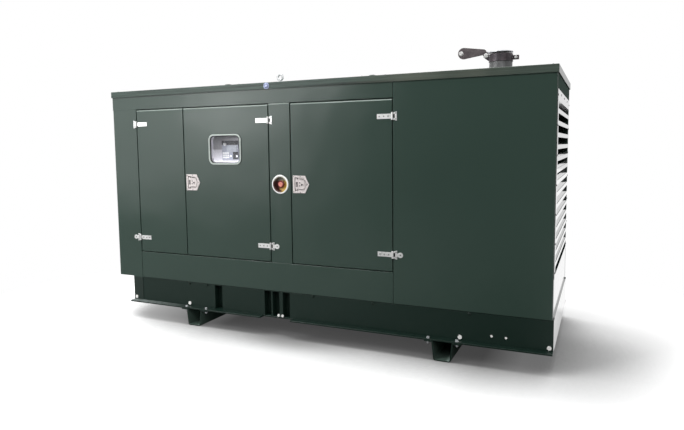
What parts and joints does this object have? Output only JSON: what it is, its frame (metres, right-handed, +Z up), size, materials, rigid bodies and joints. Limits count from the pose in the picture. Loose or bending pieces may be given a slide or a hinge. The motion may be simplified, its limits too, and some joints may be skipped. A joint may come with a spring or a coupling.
{
  "type": "silent generator set",
  "caption": "Sheet-metal sound-proof generator housing on a steel skid with cross feet, hinged doors, louvred ends and a capped exhaust.",
  "frame": {"origin": "on the floor, under the middle of the overall box", "axes": "+X along the length towards the end nearest the exhaust, -Y out of the side with the window and the emergency stop, +Z up"},
  "size_m": [3.616, 1.402, 2.182],
  "materials": {
    "canopy_paint": "satin powder coat",
    "skid_paint": "satin paint",
    "stainless": "brushed stainless steel",
    "zinc": "zinc plated",
    "pipe_steel": "weathered steel",
    "exhaust_steel": "heat-darkened steel",
    "plug_plastic": "moulded plastic",
    "stop_white": "moulded plastic",
    "stop_yellow": "moulded plastic",
    "stop_red": "moulded plastic",
    "window_frame": "satin anodised",
    "window_pane": "clear pane",
    "cabinet_grey": "light grey powder coat",
    "controller_grey": "moulded plastic"
  },
  "bodies": {
    "set": {"skid_webs": "skid_paint", "skid_top_flanges": "skid_paint", "skid_bottom_flanges": "skid_paint", "skid_ends": "skid_paint", "skid_plugs": "plug_plastic", "foot_left": "skid_paint", "foot_right": "skid_paint", "deck": "zinc", "front_sill": "canopy_paint", "front_header": "canopy_paint", "front_post_left": "canopy_paint", "front_post_centre": "canopy_paint", "front_panel": "canopy_paint", "rear_wall": "canopy_paint", "rear_doors": "canopy_paint", "rear_hinges": "stainless", "rear_latches": "stainless", "end_wall_left": "canopy_paint", "end_wall_right": "canopy_paint", "louvre_left": "canopy_paint", "louvre_right": "canopy_paint", "roof": "canopy_paint", "hinge_leaves": "stainless", "stop_ring": "stop_white", "stop_plate": "stop_yellow", "control_cabinet": "cabinet_grey", "controller": "controller_grey", "exhaust_pipe": "pipe_steel", "exhaust_collar": "exhaust_steel", "roof_eye": "zinc", "lip_bolt": "stainless"},
    "narrow_door": {"narrow_door": "canopy_paint", "narrow_door_straps": "stainless"},
    "window_door": {"window_door": "canopy_paint", "window_door_straps": "stainless", "window_rim": "window_frame", "window_glass": "window_pane", "window_door_latch": "stainless"},
    "plain_door": {"plain_door": "canopy_paint", "plain_door_straps": "stainless", "plain_door_latch": "stainless"},
    "window_door_paddle": {"window_door_paddle": "stainless"},
    "plain_door_paddle": {"plain_door_paddle": "stainless"},
    "stop_button": {"stop_button": "stop_red"},
    "rain_cap": {"rain_cap": "exhaust_steel"}
  },
  "joints": [
    {"name": "narrow_door_hinge", "type": "hinge", "parent": "set", "child": "narrow_door", "pos_m": [-1.54, -0.658, 1.1775], "axis": [0, 0, -1], "range_deg": [0, 120]},
    {"name": "window_door_hinge", "type": "hinge", "parent": "set", "child": "window_door", "pos_m": [-0.245, -0.658, 1.1775], "axis": [0, 0, 1], "range_deg": [0, 120]},
    {"name": "plain_door_hinge", "type": "hinge", "parent": "set", "child": "plain_door", "pos_m": [0.743, -0.658, 1.1775], "axis": [0, 0, 1], "range_deg": [0, 120]},
    {"name": "window_door_paddle_hinge", "type": "hinge", "parent": "window_door", "child": "window_door_paddle", "pos_m": [-1.002, -0.648, 1.1775], "axis": [0, 0, -1], "range_deg": [0, 45]},
    {"name": "plain_door_paddle_hinge", "type": "hinge", "parent": "plain_door", "child": "plain_door_paddle", "pos_m": [-0.011, -0.648, 1.1775], "axis": [0, 0, -1], "range_deg": [0, 45]},
    {"name": "stop_button_press", "type": "slide", "parent": "set", "child": "stop_button", "axis": [0, 1, 0], "range_m": [0, 0.006]},
    {"name": "rain_cap_hinge", "type": "hinge", "parent": "set", "child": "rain_cap", "pos_m": [1.2535, 0, 2.11], "axis": [0, -1, 0], "range_deg": [0, 55]}
  ]
}
